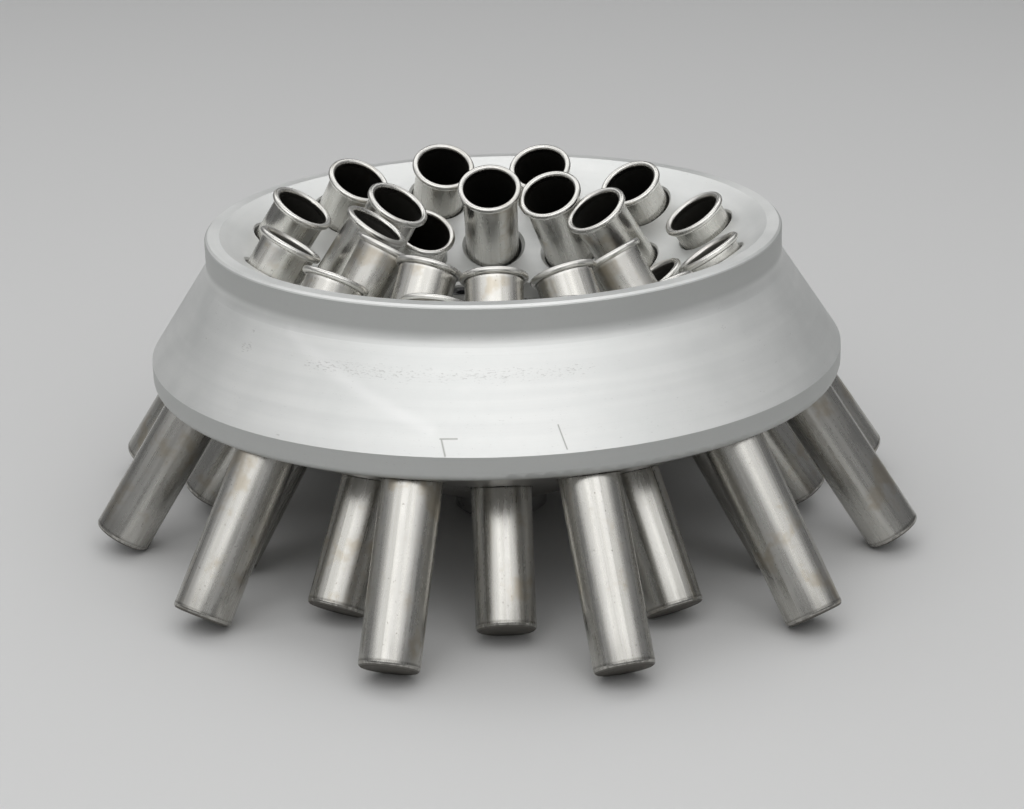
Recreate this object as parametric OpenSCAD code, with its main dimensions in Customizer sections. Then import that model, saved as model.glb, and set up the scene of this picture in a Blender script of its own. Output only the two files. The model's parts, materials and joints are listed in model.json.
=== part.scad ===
// Fixed angle rotor: a turned cone-shaped body with two staggered rings of slanted pockets,
// a metal tube shield with a rolled rim in each pocket, a rubber cushion in each shield,
// and a screwed-in steel hub.
//
// Z is the rotor's axis. The origin is the centre of the hub's lower face, where it sits on
// the spindle. Azimuth 0 is the front, along -Y, and azimuth grows towards +X.
// The rotor stands on a bench, off its spindle: each shield has slid up its pocket until its
// foot meets the bench, and the rotor leans a little towards the back left.

/* [Rotor body] */
// Largest radius, where the outer cone meets the skirt
skirt_r = 116.5; // [110:0.5:140]
// Height of the skirt, measured at its lower corner before rounding
skirt_h = 7.2; // [5:0.1:12]
// Radius that rounds the skirt's lower corner
skirt_round = 3; // [1:0.5:4]
// Height of the rim above the skirt's upper edge
rim_rise = 41; // [34:0.2:50]
// Height of the straight band round the rim, down to the outer cone
rim_band = 10.8; // [9:0.2:14]
// Radius of the fillet between the rim band and the outer cone
rim_fillet = 8; // [2:0.5:10]
// Chamfer on the rim's outer edge
rim_chamfer = 1; // [0.5:0.1:2]
// Width of the flat land on top of the rim
land_w = 4; // [2:0.5:5]
// Slope of the underside, falling towards the hub, in degrees
under_slope = 25; // [20:1:30]
// Radius of the flat boss face under the body
boss_r = 30; // [26:1:36]
// Width of the dish's flat floor left round the hub's flange
floor_w = 3; // [1:0.5:6]

/* [Pockets] */
// Number of pockets in each ring
places = 12; // [6:1:12]
// Slant of the pockets from the rotor axis, in degrees
tilt = 33.5; // [27:0.5:36]
// Distance of the outer ring's axes from the skirt's edge, measured level with its upper edge
ring_inset = 20.5; // [18:0.5:24]
// Distance between the two rings' axes at the same level
ring_gap = 29.5; // [27:0.5:31]
// Radial play of a shield in its pocket
pocket_play = 0.6; // [0.4:0.1:1]
// Gap left on the side where a shield leans on its pocket
seat_gap = 0.3; // [0.1:0.1:0.4]
// Gap left under the rolled rim of a shield that hangs in its pocket
rim_gap = 0.1; // [0.1:0.1:0.5]
// Chamfer round each pocket's mouth in the dish
pocket_chamfer = 0.6; // [0.2:0.1:1]

/* [Tube shields] */
// Outside radius of a shield
shield_r = 9.5; // [7:0.1:9.6]
// Thickness of the drawn sheet
sheet = 0.5; // [0.4:0.1:0.7]
// Overall length of a long shield
long_shield = 115.2; // [90:0.2:116]
// Overall length of a short shield
short_shield = 95.2; // [70:0.2:116]
// Outside radius of the rolled rim's section
bead_r = 1.1; // [0.9:0.05:1.15]
// Outside radius of the corner at a shield's foot
foot_round = 1.5; // [1:0.1:3]

/* [Cushions] */
// Thickness of the rubber cushion in a shield
cushion_h = 5; // [3:0.5:8]
// Depth of the round dish in the cushion's top
cushion_dish = 1.5; // [0.5:0.5:2.5]
// Radial play of a cushion in its shield
cushion_play = 0.3; // [0.1:0.1:1]

/* [Hub] */
// Height of the skirt's upper edge above the hub's lower face
hub_drop = 60; // [52:0.5:60.5]
// Radius of the hub's barrel
hub_r = 16; // [13:0.5:17]
// Radius of the spindle bore
spindle_r = 8; // [5:0.5:9]
// Radius of the hub's flange
flange_r = 30; // [29:0.5:32]
// Thickness of the hub's flange
flange_h = 9; // [8:0.5:12]
// Radius of the recess for the spindle nut
nut_recess_r = 13; // [10:0.5:14]
// Depth of that recess
nut_recess_h = 10; // [6:0.5:14]
// Width of the drive slot across the hub's lower face
drive_slot_w = 5; // [3:0.5:5]
// Depth of the drive slot
drive_slot_h = 4; // [2:0.5:8]
// Chamfer on the hub's outer edges
hub_chamfer = 0.8; // [0.2:0.1:1.5]
// Radial fit between the hub and the body
hub_fit = 0.05; // [0.01:0.01:0.1]

/* [Hub screws] */
// Number of hub screws
screws = 3; // [3:1:6]
// Thread radius of a screw
screw_r = 3; // [2:0.5:3]
// Length of a screw below its head
screw_l = 16; // [12:1:25]
// Radial play round a screw's shank and head
screw_play = 0.2; // [0.1:0.1:0.5]

/* [Bench] */
// Depth of the bench below the hub's lower face, on the rotor's axis
bench_drop = 1.4; // [1:0.1:10]
// Rise of the bench towards the back, in degrees from the rotor's own level
bench_back = 2.5; // [0:0.1:3]
// Rise of the bench towards the left, in degrees
bench_left = 1.5; // [0:0.1:3]

/* [Hidden] */
$fn = 96;

// Places in the inner ring that hold a short shield
short_places = [4, 8];
// Sideways swing of each inner shield in its pocket, in degrees: rims that would meet lean apart
inner_swing = [0.3, 0, -0.2, 0, 0.2, 0.5, -0.9, 0, 0.9, -0.8, -0.8, -0.3];
// Reach of a cutting tool past the faces that it cuts
past = 3;

// Bodies of revolution
rim_z = hub_drop + rim_rise;
rim_r = skirt_r - (rim_rise - rim_band) * tan(tilt);
skirt_z = hub_drop - skirt_h;
land_r = rim_r - rim_chamfer - land_w;
cone_top_z = rim_z - rim_band;
fillet_c = [rim_r + rim_fillet, cone_top_z + rim_fillet * tan(tilt / 2)];
floor_r = flange_r + floor_w;
floor_z = rim_z - (land_r - floor_r) * tan(tilt);
boss_z = skirt_z - (skirt_r - boss_r) * tan(under_slope);
flange_z = floor_z + flange_h;
nut_seat_z = flange_z - nut_recess_h;

// Pockets and shields
pocket_r = shield_r + pocket_play;
lean = pocket_play - seat_gap;
bore_r = shield_r - sheet;
bead_ring_r = bore_r + bead_r;
cushion_r = bore_r - cushion_play;
step = 360 / places;
outer_ring_r = skirt_r - ring_inset;
inner_ring_r = outer_ring_r - ring_gap;

// Screws, in the proportions of a socket head cap screw
head_r = screw_r * 5 / 3;
head_h = screw_r * 2;
socket_r = screw_r * 0.96;
socket_h = screw_r;
head_z = flange_z - head_h - 2 * screw_play;
screw_circle_r = (nut_recess_r + flange_r) / 2;

// The bench is a plane through [0, 0, -bench_drop] with this unit normal
bench_up = unit([tan(bench_left), -tan(bench_back), 1]);

function unit(v) = v / norm(v);

// Where a ring crosses the height of the skirt's upper edge, and the azimuth of place i
function ring_r(ring) = ring == "outer" ? outer_ring_r : inner_ring_r;
function azimuth(ring, i) = (i - (ring == "outer" ? 0.5 : 1)) * step;

// Outward direction at an azimuth, and the upward direction along a pocket there
function outward(a) = [sin(a), -cos(a), 0];
function pocket_up(a) = [-sin(tilt) * sin(a), sin(tilt) * cos(a), cos(tilt)];

// Distance along a pocket's axis from the skirt's upper edge up to the dish, or down to the underside
function dish_s(r) = rim_rise * cos(tilt) + (r - land_r) * sin(tilt);
function under_s(r) =
    (skirt_h + (skirt_r - r) * tan(under_slope)) / (cos(tilt) + sin(tilt) * tan(under_slope));
function middle_s(r) = (dish_s(r) - under_s(r)) / 2;

// How far the curved dish rises, along the axis, from a pocket's middle to the two sides of a rim
function dish_rise(r) = bead_ring_r * bead_ring_r / (2 * (r - dish_s(r) * sin(tilt))) * sin(tilt);

// Overall length and swing of the shield in place i
function is_short(ring, i) = ring == "inner" && len(search(i, short_places)) > 0;
function shield_l(ring, i) = is_short(ring, i) ? short_shield : long_shield;
function swing(ring, i) = ring == "inner" ? inner_swing[i - 1] : 0;

// How far a foot reaches below the centre of its own end face, square to the bench
function foot_reach(slope) = foot_round + (shield_r - foot_round) * sin(slope) - foot_round * cos(slope);

// Distance along the axis, from the skirt's upper edge, of a foot that stands on the bench, and of
// one whose rim sits on the dish. A shield too short to stand on the bench hangs by its rim.
function standing_s(ring, i) =
    let (a = azimuth(ring, i))
    let (slope = acos(pocket_up(a) * bench_up))
    let (height = (ring_r(ring) * outward(a) + [0, 0, hub_drop + bench_drop]) * bench_up)
    (foot_reach(slope) - height) / cos(slope);
function hanging_s(ring, i) =
    dish_s(ring_r(ring)) + dish_rise(ring_r(ring)) + rim_gap - (shield_l(ring, i) - 2 * bead_r);
function foot_s(ring, i) = max(standing_s(ring, i), hanging_s(ring, i));

// Moves children from the rotor's axis to a pocket: Z runs up the pocket, X points outwards
module at_pocket(ring, i) {
    translate([0, 0, hub_drop])
        rotate([0, 0, azimuth(ring, i) - 90])
            translate([ring_r(ring), 0, 0])
                rotate([0, -tilt, 0])
                    children();
}

// Moves children to the shield in a pocket, with the centre of its foot at the origin
module at_shield(ring, i) {
    pivot = middle_s(ring_r(ring));
    at_pocket(ring, i)
        translate([-lean, 0, pivot])
            rotate([swing(ring, i), 0, 0])
                translate([0, 0, foot_s(ring, i) - pivot])
                    children();
}

// The piece between a corner and the arc that rounds it. Its sides run along the directions a and b,
// in degrees, and it reaches a little past the corner, so it can be added to or cut from a profile.
module corner_patch(corner, a, b, r) {
    half = abs(a - b) / 2;
    mid = (a + b) / 2;
    reach = r / tan(half);
    centre = corner + r / sin(half) * [cos(mid), sin(mid)];
    difference() {
        polygon([
            corner + reach * [cos(a), sin(a)],
            centre,
            corner + reach * [cos(b), sin(b)],
            corner - 0.2 * r * [cos(mid), sin(mid)]
        ]);
        translate(centre) circle(r = r);
    }
}

// Half section of the body, before its pockets are drilled
module body_profile() {
    difference() {
        polygon([
            [hub_r + hub_fit, boss_z],
            [boss_r, boss_z],
            [skirt_r, skirt_z],
            [skirt_r, hub_drop],
            fillet_c + rim_fillet * [-cos(tilt), -sin(tilt)],
            fillet_c,
            fillet_c - [rim_fillet, 0],
            [rim_r, rim_z - rim_chamfer],
            [rim_r - rim_chamfer, rim_z],
            [land_r, rim_z],
            [floor_r, floor_z],
            [hub_r + hub_fit, floor_z]
        ]);
        translate(fillet_c) circle(r = rim_fillet);
        corner_patch([skirt_r, skirt_z], 90, 180 + under_slope, skirt_round);
    }
}

// One slanted pocket, with the chamfer round its mouth in the dish
module pocket(ring, i) {
    top = dish_s(ring_r(ring));
    bottom = -under_s(ring_r(ring)) - pocket_r;
    at_pocket(ring, i) {
        translate([0, 0, bottom])
            cylinder(r = pocket_r, h = top + past - bottom);
        translate([0, 0, top - pocket_chamfer])
            cylinder(r1 = pocket_r, r2 = pocket_r + pocket_chamfer + past, h = pocket_chamfer + past);
    }
}

// Moves children to each hub screw's axis
module at_screws() {
    for (k = [0:screws - 1])
        rotate([0, 0, k * 360 / screws])
            translate([screw_circle_r, 0, 0])
                children();
}

module rotor_body() {
    color("#c3c5c2")
        difference() {
            rotate_extrude() body_profile();
            for (ring = ["outer", "inner"], i = [1:places])
                pocket(ring, i);
            at_screws()
                translate([0, 0, head_z - screw_l - past])
                    cylinder(r = screw_r + hub_fit, h = screw_l + 2 * past);
        }
}

// Half section of the hub
module hub_profile() {
    polygon([
        [spindle_r, 0],
        [hub_r - hub_chamfer, 0],
        [hub_r, hub_chamfer],
        [hub_r, floor_z],
        [flange_r, floor_z],
        [flange_r, flange_z - hub_chamfer],
        [flange_r - hub_chamfer, flange_z],
        [nut_recess_r, flange_z],
        [nut_recess_r, nut_seat_z],
        [spindle_r, nut_seat_z]
    ]);
}

module hub() {
    color("#8e9092")
        difference() {
            rotate_extrude() hub_profile();
            at_screws() {
                translate([0, 0, floor_z - past])
                    cylinder(r = screw_r + screw_play, h = flange_h + 2 * past);
                translate([0, 0, head_z])
                    cylinder(r = head_r + screw_play, h = head_h + past);
            }
            translate([-hub_r - past, -drive_slot_w / 2, -past])
                cube([2 * (hub_r + past), drive_slot_w, drive_slot_h + past]);
        }
}

module hub_screws() {
    color("#4f5254")
        at_screws()
            translate([0, 0, head_z])
                difference() {
                    union() {
                        cylinder(r = head_r, h = head_h);
                        translate([0, 0, -screw_l])
                            cylinder(r = screw_r, h = screw_l + head_h / 2);
                    }
                    translate([0, 0, head_h - socket_h])
                        cylinder(r = socket_r, h = socket_h + past, $fn = 6);
                }
}

// Half section of a drawn shield: a flat foot, a thin wall and a rim rolled outwards.
// The curl starts in line with the wall, and its edge stops just short of the wall again.
module shield_profile(l) {
    curl_z = l - bead_r;
    difference() {
        square([shield_r, curl_z]);
        translate([0, sheet]) square([bore_r, l]);
        corner_patch([shield_r, 0], 90, 180, foot_round);
    }
    intersection() {
        translate([0, sheet]) square([bore_r, foot_round]);
        corner_patch([bore_r, sheet], 90, 180, foot_round - sheet);
    }
    translate([bead_ring_r, curl_z])
        difference() {
            circle(r = bead_r);
            circle(r = bead_r - sheet);
            polygon([[0, 0], [-2 * bead_r, 0], [-2 * bead_r, -2 * bead_r], [-bead_r / 2, -2 * bead_r]]);
        }
}

module shield(ring, i) {
    color("#b9b6ad")
        at_shield(ring, i)
            rotate_extrude() shield_profile(shield_l(ring, i));
}

// A disc with a chamfered lower edge and a round dish that the tube's end sits in
module cushion(ring, i) {
    edge = foot_round - sheet;
    dish_r = cushion_r - edge;
    ball_r = (dish_r * dish_r + cushion_dish * cushion_dish) / (2 * cushion_dish);
    color("#2c2b2a")
        at_shield(ring, i)
            translate([0, 0, sheet])
                difference() {
                    rotate_extrude()
                        polygon([
                            [0, 0],
                            [cushion_r - edge, 0],
                            [cushion_r, edge],
                            [cushion_r, cushion_h],
                            [0, cushion_h]
                        ]);
                    translate([0, 0, cushion_h - cushion_dish + ball_r])
                        sphere(r = ball_r);
                }
}

rotor_body();
hub();
hub_screws();
for (ring = ["outer", "inner"], i = [1:places]) {
    shield(ring, i);
    cushion(ring, i);
}
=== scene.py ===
# %% [markdown]
# # Finishes for a fixed angle rotor
#
# A fixed angle rotor spins test tubes at a slant in a laboratory centrifuge. This one stands off its
# spindle: a cone-shaped aluminium body, a steel hub, and twenty-four metal tube shields that have slid up
# their pockets until their feet met the bench.
#
# The exact shapes come from the CAD model, so nothing is modelled again here. This lesson is about
# finishes: turned aluminium, drawn nickel plate, a bench, soft light and a camera. Lengths in Blender are
# metres, Z points up the rotor's axis, and the front is towards -Y.

# %% Load the CAD model
import json
import math
import bpy
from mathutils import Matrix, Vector

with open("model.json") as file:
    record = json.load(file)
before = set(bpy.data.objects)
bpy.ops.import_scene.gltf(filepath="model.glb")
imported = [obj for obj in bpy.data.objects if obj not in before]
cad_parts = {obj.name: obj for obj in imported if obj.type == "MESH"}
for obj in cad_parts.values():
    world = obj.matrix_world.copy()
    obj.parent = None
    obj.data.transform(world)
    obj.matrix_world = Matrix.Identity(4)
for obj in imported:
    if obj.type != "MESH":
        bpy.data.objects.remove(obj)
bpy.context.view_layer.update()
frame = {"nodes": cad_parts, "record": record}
nodes = frame["nodes"]
MM = 0.001

# %% [markdown]
# ## Short names for building materials
#
# A material in Blender is a small network of nodes. It can be drawn by hand in the shader editor, or
# written down in code, where every node and every link takes a line or two. A few helpers keep that
# short. `add` makes one node and fills its inputs: a plain value sets the number, and another node's
# output draws a link. With it, a material reads like a recipe.

# %% Start a material and add nodes to it
def new_material(name):
    """A material with its shader joined to its output, the network they are in, and the shader."""
    material = bpy.data.materials.new(name)
    material.use_nodes = True
    tree = material.node_tree
    tree.nodes.clear()
    shader = tree.nodes.new("ShaderNodeBsdfPrincipled")
    out = tree.nodes.new("ShaderNodeOutputMaterial")
    tree.links.new(shader.outputs["BSDF"], out.inputs["Surface"])
    return material, tree, shader


def put(tree, socket, value):
    """Sets an input socket to a number or colour, or links another node's output to it."""
    if isinstance(value, bpy.types.NodeSocket):
        tree.links.new(value, socket)
    else:
        socket.default_value = value


def add(tree, kind, *values, **settings):
    """Makes a shader node. values fill its inputs in order, with None to leave one as it is."""
    node = tree.nodes.new("ShaderNode" + kind)
    for key, value in settings.items():
        setattr(node, key, value)
    for socket, value in zip(node.inputs, values):
        if value is not None:
            put(tree, socket, value)
    return node


print("a material starts with a Principled shader and an output")

# %% [markdown]
# Arithmetic in a material is done by Math nodes, one step each. Naming the steps that come back most
# often after what they do keeps a long sum readable.

# %% Arithmetic on numbers
def calc(tree, operation, *values):
    """One step of arithmetic."""
    return add(tree, "Math", *values, operation=operation).outputs[0]


def plus(tree, first, second):
    return calc(tree, "ADD", first, second)


def minus(tree, first, second):
    return calc(tree, "SUBTRACT", first, second)


def times(tree, first, second):
    return calc(tree, "MULTIPLY", first, second)


def strongest(tree, *masks):
    """The largest of several values at each point."""
    total = masks[0]
    for mask in masks[1:]:
        total = calc(tree, "MAXIMUM", total, mask)
    return total


def from_axis(tree, x, y):
    """The distance from the axis that x and y are measured across."""
    return calc(tree, "SQRT", plus(tree, times(tree, x, x), times(tree, y, y)))


print("arithmetic: plus, minus, times, strongest and from_axis")

# %% [markdown]
# Every finish below is made of three things: soft random blotches (a Noise Texture), a stretch of numbers
# turned into a mask between 0 and 1 (Map Range), and two colours mixed by such a mask (Mix). Bump then
# tilts the shading, which costs no triangles.

# %% Blotches, masks, mixed colours and bumps
def vector(tree, x=0.0, y=0.0, z=0.0):
    return add(tree, "CombineXYZ", x, y, z).outputs[0]


def noise(tree, at, scale, detail=2.0, roughness=0.5):
    """Soft random blotches between 0 and 1."""
    node = add(tree, "TexNoise")
    put(tree, node.inputs["Vector"], at)
    put(tree, node.inputs["Scale"], scale)
    put(tree, node.inputs["Detail"], detail)
    put(tree, node.inputs["Roughness"], roughness)
    return node.outputs["Fac"]


def ramp(tree, value, low, high, to_low=0.0, to_high=1.0):
    """Turns the stretch from low to high into the stretch from to_low to to_high, with soft ends."""
    node = add(tree, "MapRange", value, low, high, to_low, to_high, interpolation_type="SMOOTHSTEP")
    return node.outputs[0]


def below(tree, value, low, high):
    """1 under low, fading to 0 at high."""
    return ramp(tree, value, low, high, 1.0, 0.0)


def blend(tree, factor, first, second):
    """Mixes two colours: factor 0 gives the first, 1 the second."""
    node = tree.nodes.new("ShaderNodeMix")
    node.data_type = "RGBA"
    for name, value in (("Factor_Float", factor), ("A_Color", first), ("B_Color", second)):
        put(tree, next(s for s in node.inputs if s.identifier == name), value)
    return next(s for s in node.outputs if s.identifier == "Result_Color")


def bump(tree, height, depth, strength, normal=None):
    """Tilts the shading as if the surface rose and fell by depth metres with height."""
    node = add(tree, "Bump")
    put(tree, node.inputs["Height"], height)
    put(tree, node.inputs["Distance"], depth)
    put(tree, node.inputs["Strength"], strength)
    if normal is not None:
        put(tree, node.inputs["Normal"], normal)
    return node.outputs["Normal"]


print("patterns: vector, noise, ramp, below, blend and bump")

# %% [markdown]
# ## Turned aluminium
#
# The real body was turned on a lathe, so its finest marks are rings round the axis. A Wave texture could
# draw rings, but they would be too even. Noise looks right if it isn't fed with X, Y and Z but with the
# radius, the height and a little of the angle: the pattern then changes quickly across the rings and
# slowly along them.

# %% Rings and clouds
def turned(tree):
    """(position, radius, height, angle) about the rotor's axis, in metres and radians."""
    place = add(tree, "TexCoord").outputs["Object"]
    x, y, height = add(tree, "SeparateXYZ", place).outputs
    return place, from_axis(tree, x, y), height, calc(tree, "ARCTAN2", y, x)


def ring_noise(tree, around, scale, detail, roughness=0.5):
    """Noise drawn out into rings. around is how fast it changes on the way round."""
    _, radius, height, angle = turned(tree)
    return noise(tree, vector(tree, radius, height, times(tree, angle, around)), scale, detail, roughness)


aluminium, tree, shader = new_material("turned aluminium")
place, radius, height, angle = turned(tree)
rings = ring_noise(tree, around=0.0006, scale=2600.0, detail=3.0, roughness=0.6)
bands = ring_noise(tree, around=0.004, scale=240.0, detail=2.0)
cloud = noise(tree, place, scale=22.0, detail=4.0, roughness=0.6)
fine = noise(tree, place, scale=900.0, roughness=0.6)
print("rings and clouds:", len(tree.nodes), "nodes so far")

# %% [markdown]
# ### Scratches on the side
#
# Handling has left a few scratches, and a pale streak where something was wiped across. They could be
# painted on an image, but the CAD mesh has no UV map to hold one. Instead the side is unrolled in the
# material: the angle becomes a distance along the front's circle, and a stroke is then just the distance
# to a line between two points.

# %% Strokes on the unrolled side
SIDE_R = 0.107  # the cone's middle radius, at which its side is unrolled


def unroll(tree, height, angle):
    """The body's side laid out flat: distance along the front's circle, and height, in metres."""
    return vector(tree, times(tree, plus(tree, angle, math.pi / 2), SIDE_R), height)


def on_side(azimuth, height):
    """The same for one point, from degrees round to the right of the front and a height in millimetres."""
    return Vector((math.radians(azimuth) * SIDE_R, height * MM, 0))


def stroke(tree, flat, start, end, width):
    """1 along a line between two points on the unrolled side, fading to 0 at width millimetres."""
    start, end = on_side(*start), on_side(*end)
    along = (end - start).normalized()
    away = add(tree, "VectorMath", flat, start, operation="SUBTRACT").outputs[0]
    done = add(tree, "VectorMath", away, along, operation="DOT_PRODUCT").outputs["Value"]
    held = calc(tree, "MINIMUM", calc(tree, "MAXIMUM", done, 0.0), (end - start).length)
    nearest = add(tree, "VectorMath", along, operation="SCALE")
    put(tree, nearest.inputs["Scale"], held)
    gap = add(tree, "VectorMath", away, nearest.outputs[0], operation="DISTANCE").outputs["Value"]
    return below(tree, gap, 0.0, width * MM)


flat = unroll(tree, height, angle)
scratches = strongest(
    tree,
    stroke(tree, flat, (-9.0, 64.7), (-6.4, 64.8), 0.35),
    stroke(tree, flat, (-8.8, 64.6), (-8.1, 60.4), 0.45),
    stroke(tree, flat, (9.1, 67.4), (10.0, 61.1), 0.35),
)
wiped = times(tree, stroke(tree, flat, (-40.7, 88.3), (-10.6, 67.0), 3.0), 0.36)
print("scratches and a wiped streak:", len(tree.nodes), "nodes so far")

# %% [markdown]
# ### Flecks
#
# Small dark flecks lie along the turning marks and crowd together where the side was rubbed. Placing each
# one would take hundreds of strokes, so they are ring noise again, cut off so high that only its peaks
# show. Raising the noise a little along the rubbed line lets more of its peaks through there.

# %% Flecks where the side was rubbed
dash = ring_noise(tree, around=0.035, scale=2300.0, detail=2.0, roughness=0.6)
crowd = noise(tree, place, scale=55.0, detail=3.0)
rubbed = stroke(tree, flat, (-34, 81), (16, 81), 3.4)
smudged = strongest(
    tree,
    stroke(tree, flat, (-50.4, 80.6), (-49.2, 81.2), 3.0),
    stroke(tree, flat, (-50.0, 85.5), (-49.6, 85.7), 1.6),
    stroke(tree, flat, (-36.2, 61.4), (-35.8, 61.4), 1.4),
    stroke(tree, flat, (44.6, 84.0), (45.0, 83.8), 1.2),
)
handled = plus(tree, times(tree, rubbed, 0.15), times(tree, smudged, 0.2))
raised = plus(tree, times(tree, crowd, 0.14), handled)
flecks = ramp(tree, plus(tree, dash, raised), 0.73, 0.90)
print("flecks:", len(tree.nodes), "nodes so far")

# %% [markdown]
# ### The body's colours
#
# One piece of metal can have several finishes. The underside is smoother, and its colour is painted dark
# as painted shade beneath the body. The straight bands round the skirt and the rim are painted a darker
# grey as painted shade, where they face sideways and catch less of the light from above.
# Each finish could be a material of its own on some of the faces. Masks made from the radius and the
# height do the same in one material, and they can fade where one finish runs into the next.

# %% Where each finish lies
# Each pair is where a mask starts to change and where it has changed, in metres.
SKIRT_FOOT = 0.0512, 0.0530
SKIRT_TOP = 0.0599, 0.0601
SKIRT_SIDE = 0.1125, 0.1150
RIM_FILLET = 0.0906, 0.0934
RIM_SIDE = 0.0960, 0.0963

under = below(tree, height, *SKIRT_FOOT)
skirt_band = times(tree, below(tree, height, *SKIRT_TOP), ramp(tree, radius, *SKIRT_SIDE))
rim_band = times(tree, ramp(tree, height, *RIM_FILLET), ramp(tree, radius, *RIM_SIDE))
upright = strongest(tree, skirt_band, rim_band)
print("masks for the underside and the bands:", len(tree.nodes), "nodes so far")

# %% Mix the body's colours
CLEAN = (0.77, 0.78, 0.765, 1.0)
CLEAN_PALE = (0.855, 0.86, 0.845, 1.0)
TURNING_GREY = (0.68, 0.69, 0.68, 1.0)
WIPED_PALE = (0.93, 0.93, 0.92, 1.0)
# painted shade: the upright bands round the skirt and the rim are painted darker
BAND_PAINTED_SHADE = (0.44, 0.45, 0.44, 1.0)
MARK_DARK = (0.20, 0.19, 0.17, 1.0)
# painted shade: the underside beneath the body is painted dark
UNDER_PAINTED_SHADE = (0.22, 0.21, 0.19, 1.0)

clean = blend(tree, ramp(tree, cloud, 0.3, 0.72), CLEAN, CLEAN_PALE)
grain = blend(tree, ramp(tree, bands, 0.3, 0.7, 0.0, 0.25), clean, TURNING_GREY)
bright = blend(tree, wiped, grain, WIPED_PALE)
# painted shade: the upright bands are darkened here
banded = blend(tree, times(tree, upright, 0.7), bright, BAND_PAINTED_SHADE)
marked = strongest(tree, times(tree, flecks, 0.28), times(tree, scratches, 0.6))
worn = blend(tree, marked, banded, MARK_DARK)
# painted shade: the underside is darkened here
put(tree, shader.inputs["Base Color"], blend(tree, times(tree, under, 0.85), worn, UNDER_PAINTED_SHADE))
print("the body's colours:", len(tree.nodes), "nodes so far")

# %% [markdown]
# ### The body's sheen
#
# Turned metal spreads a reflection across its rings, which is what makes the broad soft glow on the cone.
# Bump alone would need rings finer than a pixel. The shader's Anisotropic setting does most of it instead,
# with a tangent that runs round Z, and a light bump adds the marks that can be seen.

# %% Give the body its sheen
shader.inputs["Metallic"].default_value = 0.85
satin = ramp(tree, plus(tree, cloud, times(tree, fine, 0.4)), 0.35, 1.05, 0.50, 0.60)
put(tree, shader.inputs["Roughness"], minus(tree, satin, times(tree, under, 0.25)))
shader.inputs["Anisotropic"].default_value = 0.25
tangent = add(tree, "Tangent", direction_type="RADIAL", axis="Z")
put(tree, shader.inputs["Tangent"], tangent.outputs[0])
grooves = bump(tree, minus(tree, rings, scratches), depth=0.00004, strength=0.5)
put(tree, shader.inputs["Normal"], bump(tree, fine, depth=0.00002, strength=0.35, normal=grooves))
print("turned aluminium:", len(tree.nodes), "nodes")

# %% [markdown]
# ## Nickel-plated shields
#
# Each real shield is a cup drawn from sheet metal and plated, so its marks run along its own slanted axis.
# A Mapping node could turn the pattern that way, but every shield would then need its own material.
# Attributes are the better way. The CAD record lists every tube's mouth and axis as a mount, so each mesh
# can carry `tube`, the position measured across and along that axis, `axis`, the axis itself, and
# `above_foot`, the height above the shield's flat end. One material then streaks all the shields along
# their length, and tells inside from outside and foot from mouth.

# %% Give every shield its own lengthwise coordinates
def store(mesh, name, kind, field, values):
    """Keeps a list of numbers on a mesh, one or three for each vertex."""
    mesh.attributes.new(name, kind, "POINT").data.foreach_set(field, values)


mounts = {mount["name"]: mount for mount in frame["record"]["mounts"]}
shields = sorted(name for name in nodes if "_shield_" in name)
for name in shields:
    mount = mounts[name.replace("shield", "tube")]
    mouth, axis = Vector(mount["pos_m"]), Vector(mount["axis"]).normalized()
    across = axis.cross(Vector((0, 0, 1))).normalized()
    sides = across, axis.cross(across), axis
    mesh = nodes[name].data
    from_mouth = [vertex.co - mouth for vertex in mesh.vertices]
    own_place = [point.dot(side) for point in from_mouth for side in sides]
    along = own_place[2::3]
    flat_end = min(along)
    store(mesh, "tube", "FLOAT_VECTOR", "vector", own_place)
    store(mesh, "axis", "FLOAT_VECTOR", "vector", list(axis) * len(along))
    store(mesh, "above_foot", "FLOAT", "value", [value - flat_end for value in along])
print(len(shields), "shields have tube coordinates")

# %% [markdown]
# ### Drawing marks, stains and pits
#
# Drawing leaves fine lines, which are noise that hardly changes along the tube. Wide soft bands make the
# reflections waver a little, as on real sheet metal, and blots and pits are where the plate has aged. The
# pattern could be made afresh for each shield, but the Random output of Object Info is simpler: it shifts
# the noise by another amount on each, so that no two look the same.

# %% Patterns along a shield
def own(tree, name, output):
    """Reads one of the attributes that the shields carry."""
    return add(tree, "Attribute", attribute_name=name, attribute_type="GEOMETRY").outputs[output]


nickel, tree, shader = new_material("nickel plate")
x, y, z = add(tree, "SeparateXYZ", own(tree, "tube", "Vector")).outputs
shift = times(tree, add(tree, "ObjectInfo").outputs["Random"], 7.0)
shifted = plus(tree, z, shift)

RIM_FOOT = -0.0034, -0.0024  # along the axis from the mouth, in metres, where the rolled rim starts
rim = ramp(tree, z, *RIM_FOOT)
lines = noise(tree, vector(tree, x, y, times(tree, shifted, 0.02)), scale=700.0, detail=3.0, roughness=0.6)
streaks = plus(tree, 0.5, times(tree, minus(tree, lines, 0.5), minus(tree, 1.0, rim)))
wide = noise(tree, vector(tree, x, y, times(tree, shifted, 0.12)), scale=130.0, detail=3.0, roughness=0.6)
blots = noise(tree, vector(tree, x, y, shifted), scale=75.0, detail=4.0, roughness=0.62)
specks = noise(tree, vector(tree, x, y, shifted), scale=1100.0, detail=1.0, roughness=0.4)
pits = ramp(tree, specks, 0.72, 0.80)
print("drawing marks, stains and pits:", len(tree.nodes), "nodes so far")

# %% [markdown]
# ### Inside and foot
#
# Inside, a used shield is dull, and its colour is painted dark, partly dirt and partly painted shade deep
# in the tube. Its foot is scuffed and has a thin darker line above the rounded corner, and its flat end is
# dull and painted almost black as painted shade where it faces the bench. Faces could be picked by hand
# for each of these, but the attributes already say how far every point is from the axis, the mouth and the
# foot.

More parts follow.
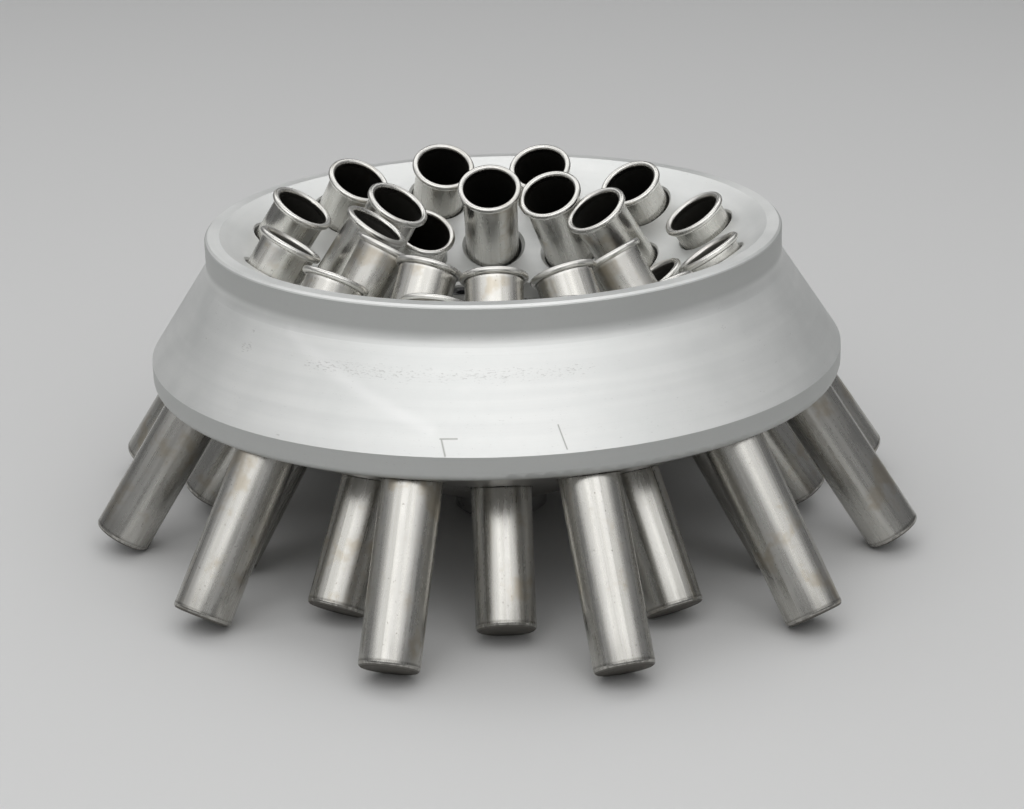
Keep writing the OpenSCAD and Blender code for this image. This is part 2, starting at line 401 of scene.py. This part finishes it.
# %% Masks for the inside and the foot
# Distances in metres: out from the tube's axis, along it from the mouth, and up from the foot.
WALL = 0.00915, 0.00935
MOUTH = -0.0035, -0.0005
END_FACE = 0.0001, 0.0005
CORNER = 0.0012, 0.0017
DARK_LINE_START = 0.0014, 0.0017
DARK_LINE_END = 0.0018, 0.0026
GRIME = 0.002, 0.012

up = own(tree, "above_foot", "Fac")
inside = times(tree, below(tree, from_axis(tree, x, y), *WALL), below(tree, z, *MOUTH))
end_face = below(tree, up, *END_FACE)
# a thin darker line just above the rounded corner
dark_line = times(tree, ramp(tree, up, *DARK_LINE_START), below(tree, up, *DARK_LINE_END))
grime = times(tree, below(tree, up, *GRIME), ramp(tree, wide, 0.45, 0.65))
corner = times(tree, below(tree, up, *CORNER), ramp(tree, streaks, 0.35, 0.6))
foot = strongest(
    tree,
    # the flat end is painted almost black: painted shade where it faces the bench
    times(tree, end_face, 0.95),
    times(tree, corner, 0.5),
    times(tree, dark_line, 0.5),
    times(tree, grime, 0.3),
)
print("inside and foot:", len(tree.nodes), "nodes so far")

# %% [markdown]
# ### The plate's colours
#
# A metal's colour is the colour of its reflections, and nickel's is a warm grey. The rolled rim is painted
# the brightest, a painted highlight, and being handled the most it has the fewest stains. The layers are
# mixed one over another: plate, stains and pits in the order in which they lie on the real metal, then
# dirt, and painted shade on the foot and inside.

# %% Mix the plate's colours
DRAWN = (0.52, 0.51, 0.475, 1.0)
DRAWN_PALE = (0.60, 0.59, 0.56, 1.0)
# painted highlight on the rolled rim
RIM_PAINTED_HIGHLIGHT = (0.72, 0.71, 0.675, 1.0)
STAIN_BROWN = (0.42, 0.355, 0.25, 1.0)
PIT_DARK = (0.12, 0.10, 0.08, 1.0)
# dirt near the foot, and painted shade on the flat end
FOOT_DIRT_AND_SHADE = (0.07, 0.062, 0.05, 1.0)
# dirt and painted shade inside the deep tube
INSIDE_DIRT_AND_SHADE = (0.10, 0.095, 0.085, 1.0)

drawn = blend(tree, ramp(tree, streaks, 0.25, 0.75), DRAWN, DRAWN_PALE)
# the rolled rim is brightened here: painted highlight
plate = blend(tree, rim, drawn, RIM_PAINTED_HIGHLIGHT)
stain = times(tree, ramp(tree, blots, 0.54, 0.68), minus(tree, 0.5, times(tree, rim, 0.35)))
stained = blend(tree, stain, plate, STAIN_BROWN)
pitting = times(tree, pits, minus(tree, 0.45, times(tree, rim, 0.4)))
pitted = blend(tree, pitting, stained, PIT_DARK)
# dirt at the foot, and painted shade on the flat end
soiled_and_shaded = blend(tree, foot, pitted, FOOT_DIRT_AND_SHADE)
# the inside is darkened here: partly dirt, partly painted shade
put(tree, shader.inputs["Base Color"], blend(tree, times(tree, inside, 0.8), soiled_and_shaded, INSIDE_DIRT_AND_SHADE))
print("the plate's colours:", len(tree.nodes), "nodes so far")

# %% [markdown]
# ### The plate's sheen
#
# The drawing marks run along a shield, so they spread its reflections round it. The Tangent node knows
# only the X, Y and Z axes, and these tubes slant, so the tangent is worked out: the cross product of the
# stored axis and the surface's normal points round the tube.

# %% Give the plate its sheen
put(tree, shader.inputs["Metallic"], minus(tree, 1.0, times(tree, end_face, 0.95)))
shader.inputs["Specular IOR Level"].default_value = 0.1
polish = ramp(tree, plus(tree, streaks, blots), 0.7, 1.3, 0.23, 0.33)
dull = strongest(tree, times(tree, inside, 0.5), times(tree, end_face, 0.6))
put(tree, shader.inputs["Roughness"], strongest(tree, polish, dull))
facing = add(tree, "NewGeometry").outputs["Normal"]
round_it = add(tree, "VectorMath", own(tree, "axis", "Vector"), facing, operation="CROSS_PRODUCT")
put(tree, shader.inputs["Tangent"], round_it.outputs[0])
shader.inputs["Anisotropic"].default_value = 0.6
scored = bump(tree, streaks, depth=0.00002, strength=0.12)
put(tree, shader.inputs["Normal"], bump(tree, wide, depth=0.00012, strength=0.12, normal=scored))
print("nickel plate:", len(tree.nodes), "nodes")

# %% [markdown]
# ## The hub, its screws and the cushions
#
# The hub is a turned piece of steel, its cap screws are blackened, and a moulded rubber cushion lies at
# the bottom of each shield. They could have as many layers as the body, but they are mostly out of sight,
# so a cloudy colour and a roughness that varies with it are enough.

# %% Turned steel
STEEL = (0.30, 0.30, 0.30, 1.0)
STEEL_PALE = (0.42, 0.42, 0.41, 1.0)
steel, tree, shader = new_material("turned steel")
rings = ring_noise(tree, around=0.0006, scale=3200.0, detail=2.0)
cloud = noise(tree, add(tree, "TexCoord").outputs["Object"], scale=60.0, detail=3.0)
put(tree, shader.inputs["Base Color"], blend(tree, cloud, STEEL, STEEL_PALE))
shader.inputs["Metallic"].default_value = 1.0
put(tree, shader.inputs["Roughness"], ramp(tree, cloud, 0.3, 0.7, 0.25, 0.4))
put(tree, shader.inputs["Normal"], bump(tree, rings, depth=0.00003, strength=0.4))
print("turned steel:", len(tree.nodes), "nodes")

# %% Black oxide
OXIDE = (0.05, 0.05, 0.055, 1.0)
OXIDE_WORN = (0.20, 0.20, 0.20, 1.0)
oxide, tree, shader = new_material("black oxide")
grip = noise(tree, add(tree, "TexCoord").outputs["Object"], scale=500.0, detail=3.0)
rubbed = ramp(tree, grip, 0.55, 0.75)
put(tree, shader.inputs["Base Color"], blend(tree, rubbed, OXIDE, OXIDE_WORN))
shader.inputs["Metallic"].default_value = 0.9
put(tree, shader.inputs["Roughness"], ramp(tree, rubbed, 0.0, 1.0, 0.42, 0.30))
print("black oxide:", len(tree.nodes), "nodes")

# %% Black rubber
RUBBER = (0.018, 0.018, 0.018, 1.0)
RUBBER_DUSTY = (0.07, 0.068, 0.065, 1.0)
rubber, tree, shader = new_material("black rubber")
dust = noise(tree, add(tree, "TexCoord").outputs["Object"], scale=300.0, detail=3.0)
put(tree, shader.inputs["Base Color"], blend(tree, ramp(tree, dust, 0.4, 0.8), RUBBER, RUBBER_DUSTY))
put(tree, shader.inputs["Roughness"], ramp(tree, dust, 0.3, 0.7, 0.62, 0.8))
print("black rubber:", len(tree.nodes), "nodes")

# %% [markdown]
# ## Dressing the CAD pieces
#
# The pieces could be sorted by their names, but the CAD record already says which material slot each one
# has. Looking the finish up by that slot keeps the scene and the record in step.

# %% Dress every CAD piece
finishes = {
    "body_metal": aluminium,
    "shield_metal": nickel,
    "hub_steel": steel,
    "screw_steel": oxide,
    "cushion_rubber": rubber,
}
for piece in frame["record"]["subparts"]:
    mesh = nodes[piece["node"]].data
    mesh.materials.clear()
    mesh.materials.append(finishes[piece["material_slot"]])
    mesh.shade_smooth()

# %% [markdown]
# ## The bench
#
# Off its spindle the rotor stands on its shields' feet and leans a little, so in the rotor's own frame
# the bench is what slopes: it rises towards the back and the left. The rotor could be tilted instead, but
# the CAD pieces stay where they are. The bench is a plain plane that reaches far past the camera's view.

# %% A plain pale bench
BENCH_WIDTH = 14.0
BENCH_GREY = (0.66, 0.66, 0.655, 1.0)
bench_drop = 1.4 * MM
rise_back = math.radians(2.5)
rise_left = math.radians(1.5)
bench_up = Vector((math.tan(rise_left), -math.tan(rise_back), 1.0)).normalized()
bpy.ops.object.select_all(action="DESELECT")
bpy.ops.mesh.primitive_plane_add(size=BENCH_WIDTH)
bench = bpy.context.active_object
bench.name = "bench"
bench.data.transform(bench_up.to_track_quat("Z", "Y").to_matrix().to_4x4())
for vertex in bench.data.vertices:
    vertex.co.z -= bench_drop
pale, tree, shader = new_material("pale bench")
shader.inputs["Base Color"].default_value = BENCH_GREY
shader.inputs["Roughness"].default_value = 0.55
shader.inputs["Specular IOR Level"].default_value = 0.25
bench.data.materials.append(pale)
print("the bench slopes by", round(math.degrees(bench_up.angle(Vector((0, 0, 1)))), 1), "degrees")

# %% [markdown]
# ## Light
#
# Metal shows what surrounds it, so the lights are chosen for their reflections. One small lamp would leave
# a hard white spot on a dark cone. Five soft panels side by side, round the front and above the camera,
# make the broad bright front instead, and a dimmer one below them fills the dark gap down to the bench.
# Two behind the rotor draw thin lines down the shields' edges, one overhead lights the bench, and a dim
# world fills in the rest.

# %% A soft panel
AIM = Vector((0, 0, 50 * MM))  # the middle of the rotor


def soft_panel(name, azimuth, elevation, distance, size, radiance):
    """A rectangular light that faces the rotor from a direction given in degrees, 0 being the front."""
    around, up = math.radians(azimuth), math.radians(elevation)
    out = Vector((math.sin(around) * math.cos(up), -math.cos(around) * math.cos(up), math.sin(up)))
    bpy.ops.object.select_all(action="DESELECT")
    bpy.ops.object.light_add(type="AREA", location=AIM + distance * out)
    light = bpy.context.active_object
    light.name = name
    light.data.shape = "RECTANGLE"
    light.data.size, light.data.size_y = size
    light.data.energy = radiance * math.pi * size[0] * size[1]
    light.rotation_euler = (-out).to_track_quat("-Z", "Y").to_euler()
    return light


print("panels face a point", round(AIM.z / MM), "mm above the hub's foot")

# %% Soft studio lights
lights = [
    soft_panel("left panel", -84, 40, 1.3, (1.0, 1.0), 0.38),
    soft_panel("front left panel", -42, 43, 1.3, (1.0, 1.1), 0.96),
    soft_panel("front panel", 0, 46, 1.3, (1.0, 1.1), 1.06),
    soft_panel("front right panel", 42, 46, 1.3, (1.0, 1.1), 0.86),
    soft_panel("right panel", 84, 44, 1.3, (1.0, 1.0), 0.3),
    soft_panel("low front fill", 0, 12, 1.4, (2.4, 0.4), 0.2),
    soft_panel("panel overhead", 180, 80, 1.5, (1.1, 1.1), 1.1),
    soft_panel("back left panel", -135, 50, 1.4, (0.9, 0.8), 1.1),
    soft_panel("back right panel", 140, 50, 1.4, (0.9, 0.8), 0.95),
]
world = bpy.data.worlds.new("soft room")
bpy.context.scene.world = world
world.use_nodes = True
backdrop = world.node_tree.nodes["Background"]
backdrop.inputs["Color"].default_value = (0.97, 0.98, 1.0, 1.0)
backdrop.inputs["Strength"].default_value = 0.17
print([light.name for light in lights])

# %% [markdown]
# ## Camera
#
# The camera stands in front and looks down at about nineteen degrees, so that both the open mouths and the
# shields' feet can be seen. A short lens close by would stretch the near rim, so this one is long.

# %% Camera
bpy.ops.object.select_all(action="DESELECT")
bpy.ops.object.camera_add(
    location=(0.0, -0.81793, 0.32279),
    rotation=[math.radians(degrees) for degrees in (70.650, 1.517, -0.860)],
)
camera = bpy.context.active_object
camera.data.lens = 88.51
camera.data.sensor_width = 36.0
camera.data.clip_end = 50.0
bpy.context.scene.camera = camera
bpy.context.scene.view_settings.view_transform = "Standard"
print("the camera sees", round(math.degrees(camera.data.angle), 1), "degrees across")
